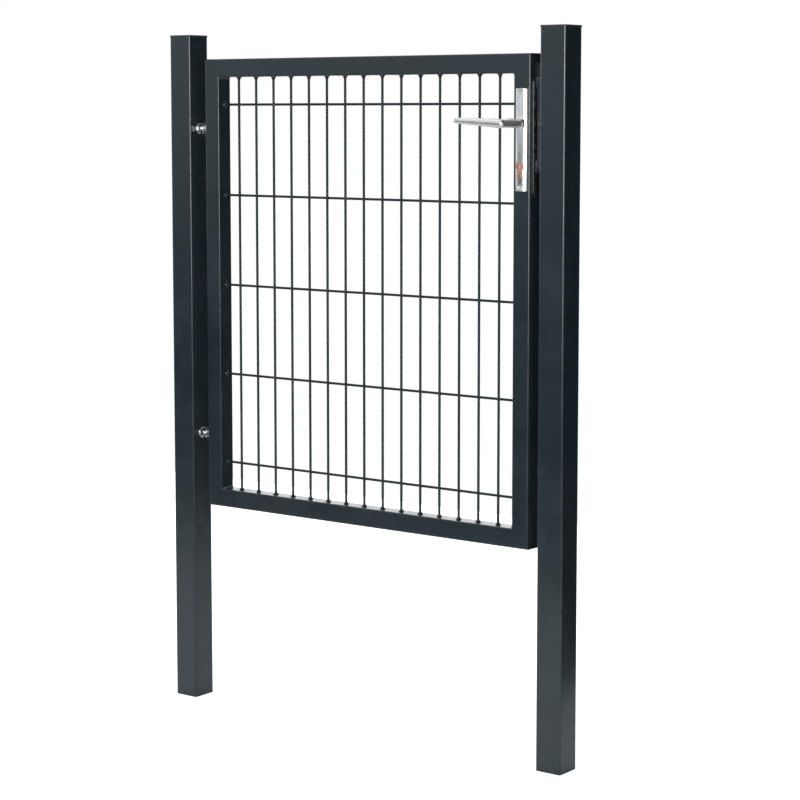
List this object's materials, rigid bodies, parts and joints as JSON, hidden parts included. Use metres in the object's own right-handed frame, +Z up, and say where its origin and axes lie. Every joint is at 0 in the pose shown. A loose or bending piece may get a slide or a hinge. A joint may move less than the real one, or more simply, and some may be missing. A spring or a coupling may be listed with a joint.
{
  "type": "mesh garden gate",
  "caption": "Single-leaf garden gate of welded mesh in a square-tube frame, hung on eyebolts between two square posts and closed by a lever lock.",
  "frame": {"origin": "on the foot of the hinge post, in the middle of the wall that faces the leaf", "axes": "+X along the gate from the hinge post to the latch post, +Y from the lever side to the rear, +Z up"},
  "size_m": [1.0735, 0.206, 1.504],
  "materials": {
    "anthracite_powder_coat": "semi-gloss",
    "black_plastic": "matt",
    "black_rubber": "matt",
    "zinc_plated_steel": "satin",
    "satin_aluminium": "satin",
    "stainless_steel": "satin",
    "brass": "satin"
  },
  "bodies": {
    "posts": {"hinge_post": "anthracite_powder_coat", "latch_post": "anthracite_powder_coat", "hinge_post_cap": "black_plastic", "latch_post_cap": "black_plastic", "upper_eyebolt": "zinc_plated_steel", "lower_eyebolt": "zinc_plated_steel", "upper_bolt_nuts": "zinc_plated_steel", "lower_bolt_nuts": "zinc_plated_steel", "upper_bolt_washers": "zinc_plated_steel", "lower_bolt_washers": "zinc_plated_steel", "keeper": "anthracite_powder_coat", "keeper_screws": "zinc_plated_steel", "stop_buffer": "black_rubber"},
    "leaf": {"top_rail": "anthracite_powder_coat", "bottom_rail": "anthracite_powder_coat", "hinge_stile": "anthracite_powder_coat", "lock_stile": "anthracite_powder_coat", "mesh_panel": "anthracite_powder_coat", "upper_hinge_lugs": "anthracite_powder_coat", "lower_hinge_lugs": "anthracite_powder_coat", "upper_hinge_pin": "anthracite_powder_coat", "lower_hinge_pin": "anthracite_powder_coat", "upper_pin_nut": "anthracite_powder_coat", "lower_pin_nut": "anthracite_powder_coat", "lock_case": "zinc_plated_steel", "lock_forend": "stainless_steel", "latch_bolt": "stainless_steel", "dead_bolt": "stainless_steel", "front_plate": "satin_aluminium", "rear_plate": "satin_aluminium", "plate_screws": "stainless_steel", "lock_cylinder": "brass", "lock_plug": "brass"},
    "handle": {"front_lever": "satin_aluminium", "rear_lever": "satin_aluminium", "spindle": "zinc_plated_steel"}
  },
  "joints": [
    {"name": "gate_swing", "type": "hinge", "parent": "posts", "child": "leaf", "pos_m": [0.0263, 0, 0.95], "axis": [0, 0, -1], "range_deg": [0, 90]},
    {"name": "handle_turn", "type": "hinge", "parent": "leaf", "child": "handle", "pos_m": [0.888, 0, 1.311], "axis": [0, -1, 0], "range_deg": [0, 40], "stiffness_Nm_per_rad": 1, "springref_deg": -28.65}
  ]
}
